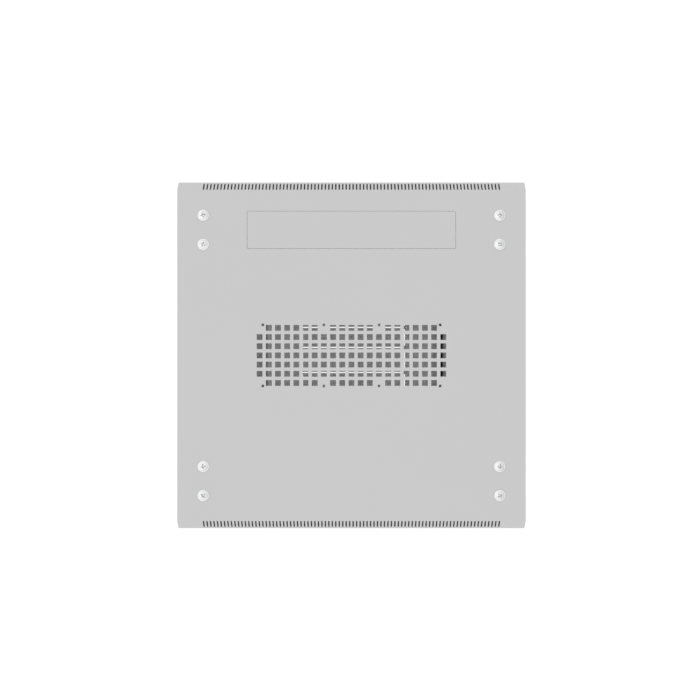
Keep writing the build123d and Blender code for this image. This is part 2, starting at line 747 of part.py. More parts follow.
def handle_base():
    """The escutcheon of the swing handle, drawn on a door at +Y."""
    outline = RectangleRounded(HANDLE_BASE_W, HANDLE_BASE_L, HANDLE_BASE_W / 3)
    middle_z = HANDLE_Z - HANDLE_BASE_L / 2 + HANDLE_BASE_ABOVE
    plane = Plane(origin=(-HANDLE_X, DOOR_FACE_Y, middle_z), x_dir=(-1, 0, 0), z_dir=(0, 1, 0))
    base = extrude(plane * outline, amount=HANDLE_BASE_T)
    base = fillet(base.faces().sort_by(Axis.Y)[-1].edges(), HANDLE_BASE_EDGE_R)
    y_low = DOOR_FACE_Y - BUSH_L
    bush = rod(SPINDLE_D + 2 * BUSH_WALL, BUSH_L, (-HANDLE_X, y_low, HANDLE_Z), (0, 1, 0))
    reach = BUSH_L + HANDLE_BASE_T + 2 * CUT
    bore = rod(SPINDLE_D + 2 * PIN_CLEARANCE, reach, (-HANDLE_X, y_low - CUT, HANDLE_Z), (0, 1, 0))
    key = rod(KEY_D + 2 * LATCH_GAP, reach, (-HANDLE_X, y_low - CUT, KEY_Z), (0, 1, 0))
    return (base + bush) - [bore, key]


def handle_spindle():
    """The turning spindle with the tongue that the lever hinges on, and its pivot pin."""
    y_face = DOOR_FACE_Y + HANDLE_BASE_T
    y_back = DOOR_FACE_Y - CAM_BEHIND_FACE
    stem = rod(SPINDLE_D, y_face - y_back, (-HANDLE_X, y_back, HANDLE_Z), (0, 1, 0))
    tongue = block(
        (-HANDLE_X - TONGUE_W / 2, -HANDLE_X + TONGUE_W / 2),
        (y_face, y_face + LEVER_GAP + LEVER_T - TONGUE_SHORT),
        (HANDLE_Z - TONGUE_H / 2, HANDLE_Z + TONGUE_H / 2),
    )
    top = tongue.faces().sort_by(Axis.Y)[-1].edges().filter_by(Axis.X)
    tongue = fillet(top, LEVER_EDGE_R)
    pin_y = y_face + LEVER_GAP + LEVER_T / 2
    pin_l = LEVER_W - 2 * TONGUE_SHORT
    pin = rod(PIVOT_D, pin_l, (-HANDLE_X - pin_l / 2, pin_y, HANDLE_Z), (1, 0, 0))
    return stem + tongue + pin


def handle_lever():
    """The grip: a bar that hangs down over the base, forked round the spindle's tongue."""
    y_face = DOOR_FACE_Y + HANDLE_BASE_T + LEVER_GAP
    x = -HANDLE_X
    pin_y = y_face + LEVER_T / 2
    low = HANDLE_Z - LEVER_L
    bar = block((x - LEVER_W / 2, x + LEVER_W / 2), (y_face, y_face + LEVER_T), (low, HANDLE_Z))
    bar = fillet(bar.faces().sort_by(Axis.Z)[0].edges().filter_by(Axis.Y), LEVER_W / 3)
    bar = fillet(bar.faces().sort_by(Axis.Y)[-1].edges().filter_by(Axis.Z), LEVER_EDGE_R)
    eye = rod(LEVER_T, LEVER_W, (x - LEVER_W / 2, pin_y, HANDLE_Z), (1, 0, 0))
    gap = TONGUE_W / 2 + LEVER_GAP
    notch = block(
        (x - gap, x + gap),
        (y_face - CUT, y_face + LEVER_T + CUT),
        (HANDLE_Z - LEVER_NOTCH_H / 2, HANDLE_Z + LEVER_NOTCH_H / 2),
    )
    wide = LEVER_W / 2 + CUT
    bore = rod(PIVOT_D + 2 * PIVOT_CLEARANCE, 2 * wide, (x - wide, pin_y, HANDLE_Z), (1, 0, 0))
    scoop_r = 2 * LEVER_W
    scoop_place = (x - wide, y_face + LEVER_SCOOP - scoop_r, low)
    scoop = rod(2 * scoop_r, 2 * wide, scoop_place, (1, 0, 0))
    return (bar + eye) - [notch, bore, scoop]


def latch_cam(x, z, y_back, towards):
    """A flat cam behind a door that turns behind its keeper; towards is +1 or -1 along X."""
    plane = Plane(origin=(x, y_back, z), x_dir=(towards, 0, 0), z_dir=(0, -1, 0))
    reach = CAM_L - CAM_W / 2
    outline = Pos(reach / 2, 0) * SlotCenterToCenter(reach, CAM_W)
    return extrude(plane * outline, amount=CAM_T)


def key_cylinder(x, z, y_tip, length, diameter):
    plug = rod(diameter, length, (x, y_tip, z), (0, -1, 0))
    plug = chamfer(plug.edges().sort_by(Axis.Y)[-1], PLUG_CHAMFER)
    slot_w, slot_h, slot_depth = KEYWAY
    return plug - block(
        (x - slot_w / 2, x + slot_w / 2),
        (y_tip - slot_depth, y_tip + CUT),
        (z - slot_h / 2, z + slot_h / 2),
    )


def latch_keepers():
    """Bars on the posts beside the cams; each is drawn at +Y for a latch at -X."""
    keepers = []
    y_post = POST_Y[1]
    latches = ((HANDLE_X, HANDLE_Z, -1, -1), (REAR_LOCK_X, REAR_LOCK_Z, 1, 1))
    for x, z, sign_x, sign_y in latches:
        x_near = -x - CAM_L - KEEPER_GAP
        high = (z - KEEPER_H / 2, z + KEEPER_H / 2)
        keeper = block((x_near - KEEPER_W, x_near), (y_post, y_post + KEEPER_PROUD), high)
        keepers.append(place_quadrant(keeper, sign_x, sign_y))
    return keepers


def rear_lock_body():
    x, y, z = -REAR_LOCK_X, DOOR_FACE_Y, REAR_LOCK_Z
    flange = rod(LOCK_FLANGE_D, LOCK_FLANGE_T, (x, y, z), (0, 1, 0))
    barrel = rod(LOCK_BODY_D, LOCK_BODY_L, (x, y - LOCK_BODY_L, z), (0, 1, 0))
    reach = LOCK_BODY_L + LOCK_FLANGE_T + 2 * CUT
    bore = rod(LOCK_PLUG_D + 2 * PIN_CLEARANCE, reach, (x, y - LOCK_BODY_L - CUT, z), (0, 1, 0))
    return (flange + barrel) - bore


def side_panel():
    """The +X side panel: a flat sheet with short returned edges and two latch windows."""
    x_out = SIDE_OUTER_X
    x_in = x_out - SKIN_T
    x_edge = x_in - SIDE_RETURN
    outer = block((x_edge, x_out), (-SIDE_Y, SIDE_Y), SIDE_Z)
    z_low, z_high = SIDE_Z
    t = SKIN_T
    hollow = block((x_edge - CUT, x_in), (-SIDE_Y + t, SIDE_Y - t), (z_low + t, z_high - t))
    panel = outer - hollow
    for y in (-LATCH_Y, LATCH_Y):
        panel -= side_latch_window(y)
    return panel


def side_latch_window(y):
    half_w, half_h = LATCH_WINDOW[0] / 2, LATCH_WINDOW[1] / 2
    return block(
        (SIDE_OUTER_X - SKIN_T - CUT, SIDE_OUTER_X + CUT),
        (y - half_w, y + half_w),
        (LATCH_Z - half_h, LATCH_Z + half_h),
    )


def side_latch(y):
    """A sliding latch: a finger plate outside, a neck through the window, a plate inside."""
    gap = LATCH_GAP
    x_out = SIDE_OUTER_X + gap
    x_in = SIDE_OUTER_X - SKIN_T - gap
    half_w = LATCH_WINDOW[0] / 2
    half_h = LATCH_WINDOW[1] / 2
    neck_z = (LATCH_Z - half_h + LATCH_TRAVEL + gap, LATCH_Z + half_h - gap)
    neck = block((x_in, x_out), (y - half_w + gap, y + half_w - gap), neck_z)
    plate_y = (y - half_w - LATCH_LAP, y + half_w + LATCH_LAP)
    plate_z = (neck_z[0] - LATCH_LAP, neck_z[1] + LATCH_LAP)
    outside = block((x_out, x_out + LATCH_OUTER_T), plate_y, plate_z)
    inside = block((x_in - LATCH_INNER_T, x_in), plate_y, plate_z)
    grooves = []
    for index in range(LATCH_GROOVES):
        z = LATCH_Z - LATCH_GROOVE_PITCH + index * LATCH_GROOVE_PITCH
        depth = (x_out + LATCH_OUTER_T - LATCH_GROOVE_DEPTH, x_out + LATCH_OUTER_T + CUT)
        grooves.append(block(depth, (y - half_w, y + half_w), (z, z + LATCH_GROOVE_W)))
    return (neck + outside + inside) - grooves


def levelling_foot():
    """Pad, hexagon and stem of one foot, in the +X, +Y quarter."""
    pad = rod(FOOT_PAD_D, FOOT_PAD_H, (FOOT_X, FOOT_Y, 0))
    pad = fillet(pad.edges().sort_by(Axis.Z)[-1], FOOT_PAD_R)
    flats_z = FOOT_PAD_H + FOOT_CONE_H
    low_r, high_r = FOOT_CONE_RS
    cone = Cone(low_r, high_r, FOOT_CONE_H, align=(Align.CENTER, Align.CENTER, Align.MIN))
    flats = across_flats(FOOT_FLATS, FOOT_FLATS_H, (FOOT_X, FOOT_Y, flats_z))
    stem = rod(FOOT_STEM_D, FOOT_STEM_TOP_Z - flats_z, (FOOT_X, FOOT_Y, flats_z))
    return pad + Pos(FOOT_X, FOOT_Y, FOOT_PAD_H) * cone + flats + stem


def foot_nuts():
    """Nuts welded under the base panel; each foot's stem is screwed through one."""
    nuts = []
    for sign_x, sign_y in QUADRANTS:
        place = (sign_x * FOOT_X, sign_y * FOOT_Y, UNDERSIDE_Z - FOOT_NUT_H)
        bore = rod(FOOT_STEM_D + 2 * PIVOT_CLEARANCE, FOOT_NUT_H, place)
        nuts.append(across_flats(FOOT_NUT_AF, FOOT_NUT_H, place) - bore)
    return nuts


def caster_plate():
    """The fixed plate and bearing race of one caster, in the +X, +Y quarter."""
    z_low = UNDERSIDE_Z - CASTER_PLATE_T
    z_race = z_low - RACE_H
    plate = slab(RectangleRounded(CASTER_PLATE, CASTER_PLATE, CASTER_PLATE_R), z_low, UNDERSIDE_Z)
    race = rod(SWIVEL_D, RACE_H, (0, 0, z_race))
    kingpin = rod(KINGPIN_D, KINGPIN_L + RACE_H, (0, 0, z_race - KINGPIN_L))
    head = rod(KINGPIN_HEAD_D, KINGPIN_HEAD_H, (0, 0, z_race - KINGPIN_L - KINGPIN_HEAD_H))
    holes = []
    for sign_x, sign_y in QUADRANTS:
        place = (sign_x * CASTER_HOLE_XY, sign_y * CASTER_HOLE_XY, z_low - CUT)
        holes.append(rod(CASTER_HOLE_D, CASTER_PLATE_T + 2 * CUT, place))
    return Pos(CASTER_X, CASTER_Y, 0) * ((plate + race + kingpin + head) - holes)


def caster_fork():
    """The swivelling fork with its wheel's axle, trailing towards -Y."""
    z_crown = UNDERSIDE_Z - CASTER_PLATE_T - RACE_H - RACE_GAP
    half_gap = WHEEL_W / 2 + WHEEL_GAP
    crown = rod(SWIVEL_D, CROWN_T, (0, 0, z_crown - CROWN_T))
    bore_d = KINGPIN_D + 4 * PIVOT_CLEARANCE
    fork = crown - rod(bore_d, CROWN_T + 2 * CUT, (0, 0, z_crown - CROWN_T - CUT))
    outline = Polyline(
        (-EAR_TOP_W / 2, z_crown),
        (EAR_TOP_W / 2, z_crown),
        (EAR_R - WHEEL_TRAIL, WHEEL_Z),
        (-EAR_R - WHEEL_TRAIL, WHEEL_Z),
        close=True,
    )
    ear = make_face(outline) + Pos(-WHEEL_TRAIL, WHEEL_Z) * Circle(EAR_R)
    for x_low in (-half_gap - FORK_T, half_gap):
        fork += Pos(x_low, 0, 0) * extrude(Plane.YZ * ear, amount=FORK_T)
    reach = half_gap + FORK_T + AXLE_PROUD
    axle = rod(AXLE_D, 2 * reach, (-reach, -WHEEL_TRAIL, WHEEL_Z), (1, 0, 0))
    return Pos(CASTER_X, CASTER_Y, 0) * (fork + axle)


def caster_wheel():
    x_low = CASTER_X - WHEEL_W / 2
    hub = (CASTER_Y - WHEEL_TRAIL, WHEEL_Z)
    wheel = rod(WHEEL_D, WHEEL_W, (x_low, *hub), (1, 0, 0))
    wheel = fillet(wheel.edges().filter_by(GeomType.CIRCLE), TREAD_R)
    dish = rod(DISH_D, DISH_DEPTH, (x_low, *hub), (1, 0, 0))
    dish -= rod(HUB_D, DISH_DEPTH, (x_low, *hub), (1, 0, 0))
    far_dish = Pos(WHEEL_W - DISH_DEPTH, 0, 0) * dish
    bore_d = AXLE_D + 2 * PIVOT_CLEARANCE
    bore = rod(bore_d, WHEEL_W + 2 * CUT, (x_low - CUT, *hub), (1, 0, 0))
    return wheel - [dish, far_dish, bore]


def earth_studs():
    """Bonding studs welded to the base and to the top rear beam."""
    low_place = (STUD_X, STUD_Y, BASE_TOP_Z)
    low = rod(STUD_D, STUD_L, low_place) + across_flats(STUD_NUT_AF, STUD_NUT_H, low_place)
    high_place = (STUD_X, POST_Y[1] - FRAME_T, FRAME_TOP_Z - CROSS_BEAM_H / 2)
    high = rod(STUD_D, STUD_L, high_place, (0, -1, 0))
    high += across_flats(STUD_NUT_AF, STUD_NUT_H, high_place, (0, -1, 0))
    return [low, high]


def save_roof_and_base():
    save("top_panel", top_panel())
    save("cable_entry_ledge", cable_entry_ledge())
    save("top_cable_entry_cover", top_cable_entry_cover())
    save("base_panel", base_panel())
    save("cover_screws", *cover_screws(HEIGHT, True), *cover_screws(UNDERSIDE_Z, False))


def save_frame():
    ends = {-1: "front", 1: "rear"}
    sides = {-1: "left", 1: "right"}
    post = corner_post()
    rail = drill_for_bolts(mounting_rail(), rail_bolt_places(-1))
    brackets = []
    bolts = []
    for z in RAIL_BRACKET_ZS:
        bracket = drill_for_bolts(rail_bracket(z), rail_bolt_places(-1) + rail_bolt_places(1))
        for signs in QUADRANTS:
            brackets.append(place_quadrant(bracket, *signs))
            bolts += [place_quadrant(bolt, *signs) for bolt in rail_bolt_pair(z)]
    for sign_x, sign_y in QUADRANTS:
        where = f"{ends[sign_y]}_{sides[sign_x]}"
        save(f"post_{where}", place_quadrant(post, sign_x, sign_y))
        save(f"mounting_rail_{where}", place_quadrant(rail, sign_x, sign_y))
    for sign_y, end in ends.items():
        for z, level in ((FRAME_BOTTOM_Z, "bottom"), (FRAME_TOP_Z - CROSS_BEAM_H, "top")):
            save(f"cross_beam_{end}_{level}", place_quadrant(cross_beam(z), 1, sign_y))
    holes = [(sy * y, z) for sy in (-1, 1) for y, z in rail_bolt_places(1)]
    for sign_x, side in sides.items():
        beams = depth_beams(1)
        drilled = [place_quadrant(drill_for_bolts(beam, holes), sign_x, 1) for beam in beams]
        save(f"depth_beams_{side}", *drilled)
    save("rail_brackets", *brackets)
    save("rail_bolts", *bolts)
    save("corner_gussets", *corner_gussets())
    save("weld_nuts", *weld_nuts(), *foot_nuts())
    save("hinge_brackets", *hinge_brackets())
    save("latch_keepers", *latch_keepers())
    save("earth_studs", *earth_studs())


def save_doors():
    """Both doors are drawn at +Y with the hinge at +X; the front one is turned to -Y."""
    turn = Rot(Z=180)
    front = door_pan(window=True)
    front = door_cut_for_lock(front, -HANDLE_X, HANDLE_Z, SPINDLE_D + 2 * BUSH_WALL)
    front = door_cut_for_lock(front, -HANDLE_X, KEY_Z, KEY_D + 2 * LATCH_GAP)
    rear = door_cut_for_lock(door_pan(window=False), -REAR_LOCK_X, REAR_LOCK_Z, LOCK_BODY_D)
    cam_back = DOOR_FACE_Y - CAM_BEHIND_FACE
    save("front_door_frame", turn * front)
    save("front_door_glass", turn * glass_pane())
    save("front_door_glass_seal", turn * glass_seal())
    save("front_door_glass_clips", *[turn * clip for clip in glass_clips()])
    save("front_door_hinge_pins", *[turn * pin for pin in door_hinge_pins()])
    save("front_handle_base", turn * handle_base())
    save("front_handle_spindle", turn * handle_spindle())
    save("front_handle_cam", turn * latch_cam(-HANDLE_X, HANDLE_Z, cam_back, -1))
    save("front_handle_lever", turn * handle_lever())
    key_tip = DOOR_FACE_Y + HANDLE_BASE_T + KEY_PROUD
    save("front_key_cylinder", turn * key_cylinder(-HANDLE_X, KEY_Z, key_tip, KEY_L, KEY_D))
    save("rear_door_panel", rear)
    save("rear_door_hinge_pins", *door_hinge_pins())
    save("rear_lock_body", rear_lock_body())
    plug_tip = DOOR_FACE_Y + LOCK_PROUD
    plug_l = LOCK_PROUD + CAM_BEHIND_FACE
    save("rear_lock_cylinder", key_cylinder(-REAR_LOCK_X, REAR_LOCK_Z, plug_tip, plug_l, LOCK_PLUG_D))
    save("rear_lock_cam", latch_cam(-REAR_LOCK_X, REAR_LOCK_Z, cam_back, -1))


def save_sides():
    for sign_x, side in ((-1, "left"), (1, "right")):
        save(f"side_panel_{side}", place_quadrant(side_panel(), sign_x, 1))
        for sign_y, end in ((-1, "front"), (1, "rear")):
            save(f"side_latch_{side}_{end}", place_quadrant(side_latch(LATCH_Y), sign_x, sign_y))


def save_feet_and_casters():
    foot = levelling_foot()
    fork = caster_fork()
    wheel = caster_wheel()
    plates = []
    for sign_x, sign_y in QUADRANTS:
        where = f"{'front' if sign_y < 0 else 'rear'}_{'left' if sign_x < 0 else 'right'}"
        shift = Pos(sign_x * CASTER_X - CASTER_X, sign_y * CASTER_Y - CASTER_Y, 0)
        plates.append(shift * caster_plate())
        save(f"levelling_foot_{where}", place_quadrant(foot, sign_x, sign_y))
        save(f"caster_fork_{where}", shift * fork)
        save(f"caster_wheel_{where}", shift * wheel)
    save("caster_plates", *plates)


os.makedirs("parts", exist_ok=True)
save_roof_and_base()
save_frame()
save_doors()
save_sides()
save_feet_and_casters()
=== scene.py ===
import json
import math

import bpy
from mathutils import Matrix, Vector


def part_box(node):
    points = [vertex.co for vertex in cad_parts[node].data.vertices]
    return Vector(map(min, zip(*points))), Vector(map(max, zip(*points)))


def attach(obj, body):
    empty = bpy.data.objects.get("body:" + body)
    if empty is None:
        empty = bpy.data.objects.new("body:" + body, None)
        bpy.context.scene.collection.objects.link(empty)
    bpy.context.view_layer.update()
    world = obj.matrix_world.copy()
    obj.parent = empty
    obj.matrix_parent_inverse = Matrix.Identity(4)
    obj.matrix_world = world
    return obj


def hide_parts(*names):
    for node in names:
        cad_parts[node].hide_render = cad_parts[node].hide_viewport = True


# A free-standing network cabinet, seen from straight above. Metres, +Z up, front at -Y;
# the pieces section works in millimetres.

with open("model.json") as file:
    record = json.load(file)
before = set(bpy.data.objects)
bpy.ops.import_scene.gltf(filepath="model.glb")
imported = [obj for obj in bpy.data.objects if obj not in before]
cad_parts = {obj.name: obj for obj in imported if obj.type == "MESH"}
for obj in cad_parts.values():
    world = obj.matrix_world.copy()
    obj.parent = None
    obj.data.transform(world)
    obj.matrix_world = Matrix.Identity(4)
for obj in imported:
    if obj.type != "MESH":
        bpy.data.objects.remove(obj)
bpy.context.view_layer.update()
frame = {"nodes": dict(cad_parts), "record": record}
scene = bpy.context.scene
scene.view_settings.view_transform = "Standard"
scene.view_settings.look = "None"


# ---------------------------------------------------------------- camera
TOP_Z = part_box("top_panel")[1][2]
CAMERA_ABOVE_TOP = 2.0736
CAMERA_OFFSET = (0.0070, 0.0093)
VIEW_WIDTH_AT_TOP = 1.2042
SENSOR = 36.0  # millimetres
FRAME_SHIFT = -0.00785714  # as a fraction of the view width


def add_camera():
    data = bpy.data.cameras.new("camera")
    data.sensor_width = SENSOR
    data.lens = SENSOR * CAMERA_ABOVE_TOP / VIEW_WIDTH_AT_TOP
    data.shift_x = FRAME_SHIFT
    camera = bpy.data.objects.new("camera", data)
    camera.location = (*CAMERA_OFFSET, TOP_Z + CAMERA_ABOVE_TOP)
    scene.collection.objects.link(camera)
    scene.camera = camera


add_camera()


# ---------------------------------------------------------------- node helpers
class Material:
    """A Principled material with short ways to add noise, ramps and bump."""

    def __init__(self, name, **constants):
        self.material = bpy.data.materials.new(name)
        self.material.use_nodes = True
        self.tree = self.material.node_tree
        self.shader = self.tree.nodes["Principled BSDF"]
        self.coordinates = self.add("ShaderNodeTexCoord").outputs["Object"]
        for socket, value in constants.items():
            self.shader.inputs[socket.replace("_", " ")].default_value = value

    def add(self, kind, **settings):
        node = self.tree.nodes.new(kind)
        for key, value in settings.items():
            setattr(node, key, value)
        return node

    def link(self, source, target):
        self.tree.links.new(source, target)

    def stretched(self, scale):
        mapping = self.add("ShaderNodeMapping")
        mapping.inputs["Scale"].default_value = scale
        self.link(self.coordinates, mapping.inputs["Vector"])
        return mapping.outputs["Vector"]

    def noise(self, scale, detail=3.0, roughness=0.5, vector=None):
        node = self.add("ShaderNodeTexNoise")
        node.inputs["Scale"].default_value = scale
        node.inputs["Detail"].default_value = detail
        node.inputs["Roughness"].default_value = roughness
        self.link(vector or self.coordinates, node.inputs["Vector"])
        return node.outputs["Fac"]

    def voronoi(self, scale):
        node = self.add("ShaderNodeTexVoronoi", feature="F1")
        node.inputs["Scale"].default_value = scale
        self.link(self.coordinates, node.inputs["Vector"])
        return node.outputs["Distance"]

    def ramp(self, value, stops):
        node = self.add("ShaderNodeValToRGB")
        elements = node.color_ramp.elements
        for element, (position, color) in zip(elements, (stops[0], stops[-1])):
            element.position, element.color = position, color
        for position, color in stops[1:-1]:
            elements.new(position).color = color
        self.link(value, node.inputs["Fac"])
        return node.outputs["Color"]

    def range(self, value, low, high):
        node = self.add("ShaderNodeMapRange")
        node.inputs["To Min"].default_value = low
        node.inputs["To Max"].default_value = high
        self.link(value, node.inputs["Value"])
        return node.outputs["Result"]

    def sum(self, a, b):
        node = self.add("ShaderNodeMath", operation="ADD")
        self.link(a, node.inputs[0])
        self.link(b, node.inputs[1])
        return node.outputs["Value"]

    def color(self, source):
        self.link(source, self.shader.inputs["Base Color"])

    def roughness(self, source):
        self.link(source, self.shader.inputs["Roughness"])

    def bump(self, source, distance, strength):
        node = self.add("ShaderNodeBump")
        node.inputs["Strength"].default_value = strength
        node.inputs["Distance"].default_value = distance
        self.link(source, node.inputs["Height"])
        previous = self.shader.inputs["Normal"].links
        if previous:
            self.link(previous[0].from_socket, node.inputs["Normal"])
        self.link(node.outputs["Normal"], self.shader.inputs["Normal"])


def grey(value, tint=(1.0, 1.0, 1.0)):
    return (value * tint[0], value * tint[1], value * tint[2], 1.0)


# ---------------------------------------------------------------- materials
def powder_coat():
    """Light grey powder coat: fine orange peel, faint drifts of tone, duller where handled."""
    m = Material("powder_coat", Specular_IOR_Level=0.40)
    drift = m.noise(2.2, detail=3.0, roughness=0.55)
    speckle = m.noise(900.0, detail=2.0, roughness=0.6)
    tone = m.sum(m.range(drift, -0.012, 0.012), m.range(speckle, 0.485, 0.515))
    m.color(m.ramp(tone, ((0.45, grey(0.547)), (0.50, grey(0.580)), (0.55, grey(0.612)))))
    m.roughness(m.range(m.noise(14.0, detail=4.0, roughness=0.6), 0.40, 0.50))
    m.bump(m.noise(620.0, detail=2.0, roughness=0.5), distance=0.00008, strength=0.75)
    m.bump(m.noise(150.0, detail=1.0, roughness=0.4), distance=0.00010, strength=0.25)
    return m.material


def zinc_plate():
    """Zinc-plated steel: spangled blue-grey passivation with drawn-sheet streaks."""
    m = Material("zinc_plate", Metallic=1.0)
    spangle = m.voronoi(120.0)
    cloud = m.noise(9.0, detail=5.0, roughness=0.6)
    mixed = m.sum(m.range(spangle, 0.0, 0.25), m.range(cloud, 0.15, 0.70))
    dark, light = grey(0.52, (0.97, 1.0, 1.03)), grey(0.70, (1.0, 1.0, 0.98))
    m.color(m.ramp(mixed, ((0.25, dark), (0.8, light))))
    streaks = m.noise(60.0, detail=2.0, roughness=0.5, vector=m.stretched((6.0, 6.0, 0.4)))
    m.roughness(m.range(m.sum(streaks, m.range(cloud, -0.2, 0.2)), 0.26, 0.44))
    m.bump(streaks, distance=0.00003, strength=0.4)
    return m.material


def bright_fastener():
    """Bright zinc on screws, bolts and nuts, with faint forging and driving marks."""
    m = Material("bright_fastener", Metallic=1.0)
    cloud = m.noise(140.0, detail=3.0, roughness=0.6)
    m.color(m.ramp(cloud, ((0.3, grey(0.80, (0.99, 1.0, 1.0))), (0.7, grey(0.90)))))
    m.roughness(m.range(m.noise(260.0, detail=3.0, roughness=0.6), 0.22, 0.36))
    m.bump(m.noise(420.0, detail=2.0, roughness=0.6), distance=0.00004, strength=0.5)
    return m.material


def tinted_glass():
    """Clear safety glass with a faint green-grey tint and a slight roller wave."""
    m = Material("tinted_glass", Transmission_Weight=1.0, IOR=1.45, Roughness=0.0)
    tint = m.noise(0.6, detail=1.0, roughness=0.4)
    m.color(m.ramp(tint, ((0.0, (0.90, 0.925, 0.92, 1.0)), (1.0, (0.915, 0.935, 0.93, 1.0)))))
    m.bump(m.noise(3.0, detail=1.0, roughness=0.4), distance=0.00002, strength=0.2)
    return m.material


def seal_rubber():
    """Matt black rubber and foam."""
    m = Material("seal_rubber", Specular_IOR_Level=0.3)
    m.color(m.ramp(m.noise(300.0, detail=3.0), ((0.3, grey(0.018)), (0.7, grey(0.032)))))
    m.roughness(m.range(m.noise(90.0, detail=3.0), 0.62, 0.80))
    m.bump(m.noise(800.0, detail=2.0), distance=0.00005, strength=0.6)
    return m.material


def black_plastic():
    """Moulded nylon with a fine spark-eroded grain, shinier where fingers rub it."""
    m = Material("black_plastic", Specular_IOR_Level=0.45)
    m.color(m.ramp(m.noise(220.0, detail=2.0), ((0.3, grey(0.022)), (0.7, grey(0.034)))))
    m.roughness(m.range(m.noise(28.0, detail=3.0), 0.38, 0.55))
    m.bump(m.voronoi(1500.0), distance=0.00005, strength=0.6)
    return m.material


def lock_chrome():
    """Bright chrome on the lock parts."""
    m = Material("lock_chrome", Metallic=1.0)
    light = grey(0.78, (1.0, 0.995, 0.98))
    m.color(m.ramp(m.noise(60.0, detail=3.0), ((0.3, grey(0.66)), (0.7, light))))
    m.roughness(m.range(m.noise(240.0, detail=3.0), 0.14, 0.26))
    m.bump(m.noise(700.0, detail=2.0), distance=0.00002, strength=0.4)
    return m.material


def wheel_plastic():
    """Dark grey tread, scuffed in patches."""
    m = Material("wheel_plastic", Specular_IOR_Level=0.4)
    m.color(m.ramp(m.noise(45.0, detail=4.0), ((0.3, grey(0.040)), (0.7, grey(0.062)))))
    m.roughness(m.range(m.noise(60.0, detail=4.0, roughness=0.7), 0.42, 0.66))
    m.bump(m.noise(500.0, detail=3.0), distance=0.00006, strength=0.5)
    return m.material


MATERIALS = {
    "powder_coat": powder_coat(),
    "zinc_plate": zinc_plate(),
    "bright_fastener": bright_fastener(),
    "tinted_glass": tinted_glass(),
    "seal_rubber": seal_rubber(),
    "black_plastic": black_plastic(),
    "lock_chrome": lock_chrome(),
    "wheel_plastic": wheel_plastic(),
}


def dress_frame():
    """Gives every carried-over part the material of its record slot."""
    for part in frame["record"]["subparts"]:
        data = frame["nodes"][part["node"]].data
        material = MATERIALS[part["material_slot"]]
        if data.materials:
            for index in range(len(data.materials)):
                data.materials[index] = material
        else:
            data.materials.append(material)


dress_frame()


# ---------------------------------------------------------------- pieces
MM = 0.001
SMOOTH_ANGLE = math.radians(35)
ROUND_STEPS = 24
CORNER_STEPS = 8

# levelling foot: the pad's outline as (radius, height), then the stem above it
PAD_PROFILE = (
    (16.8, 0.0), (18.0, 1.0), (18.0, 1.9), (17.4, 2.2), (17.4, 2.7), (18.0, 3.0),
    (18.0, 4.2), (17.4, 5.5), (16.0, 6.0), (12.4, 6.0), (11.6, 6.6),
)
CONE_Z = 6.2
CONE_LOW_R = 11.0
CONE_TOP_R = 8.0
FLATS = 14.0
FLATS_Z = (14.0, 22.0)
FLATS_CHAMFER = 0.8
FLATS_EDGE = 0.01
THREAD_R = 6.0
THREAD_DEPTH = 0.95
THREAD_PITCH = 1.75
THREAD_STEPS = 4

# door gaskets: strips as (width, height); the thin one is beside the hinges
GASKET_Z = (96.0, 2004.5)
GASKET_LATCH_X = 284.5
GASKET_HINGE_X = 279.5
GASKET_HINGE_END_X = 276.0
GASKET_FULL = (7.0, 7.2)
GASKET_THIN = (5.0, 4.2)
KEEPER_CLEARANCE = 6
FOAM_STEPS = 10
FOAM_FULLNESS = 0.6

# black border on the inside of the door glass
BORDER_BAND = 32.0
BORDER_INSET = 0.8
BORDER_GAP = 0.03
BORDER_T = 0.15
BORDER_OUTER_R = 11.0
BORDER_INNER_R = 6.0


def add_piece(name, verts, faces, slot, body):
    """Makes a mesh piece, given in millimetres, that rides on a body."""
    mesh = bpy.data.meshes.new(name)
    mesh.from_pydata([tuple(value * MM for value in vert) for vert in verts], [], faces)
    mesh.materials.append(MATERIALS[slot])
    mesh.shade_smooth()
    mesh.set_sharp_from_angle(angle=SMOOTH_ANGLE)
    piece = bpy.data.objects.new(name, mesh)
    scene.collection.objects.link(piece)
    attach(piece, body)
    return piece


def skin(rings, ring_shaped=False):
    """Joins rings of equally many points; the ends are capped, or joined to each other."""
    size = len(rings[0])
    count = len(rings)
    verts = [point for ring in rings for point in ring]
    faces = []
    for index in range(count if ring_shaped else count - 1):
        near, far = index * size, (index + 1) % count * size
        for step in range(size):
            after = (step + 1) % size
            faces.append((near + step, near + after, far + after, far + step))
    if not ring_shaped:
        faces.append(tuple(reversed(range(size))))
        faces.append(tuple(range((count - 1) * size, count * size)))
    return verts, faces


def join(*meshes):
    """One mesh from several."""
    verts, faces = [], []
    for more_verts, more_faces in meshes:
        start = len(verts)
        verts += more_verts
        faces += [tuple(start + index for index in face) for face in more_faces]
    return verts, faces


def ring(place, z, radius_at):
    """A level ring round place, whose radius depends on the turn, from 0 to 1."""
    points = []
    for step in range(ROUND_STEPS):
        turn = step / ROUND_STEPS
        radius = radius_at(turn)
        angle = math.tau * turn
        points.append((place[0] + radius * math.cos(angle), place[1] + radius * math.sin(angle), z))
    return points


def box_mm(node):
    return [[value / MM for value in corner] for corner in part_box(node)]


def hexagon(turn):
    """The reach of the spanner flats at a turn from 0 to 1."""
    side = 1 / 6
    return FLATS / 2 / math.cos(math.tau * ((turn + side / 2) % side - side / 2))


def eased_hexagon(turn):
    """The same, with the corners taken off."""
    return min(hexagon(turn), FLATS / 2 + FLATS_CHAMFER / 4)


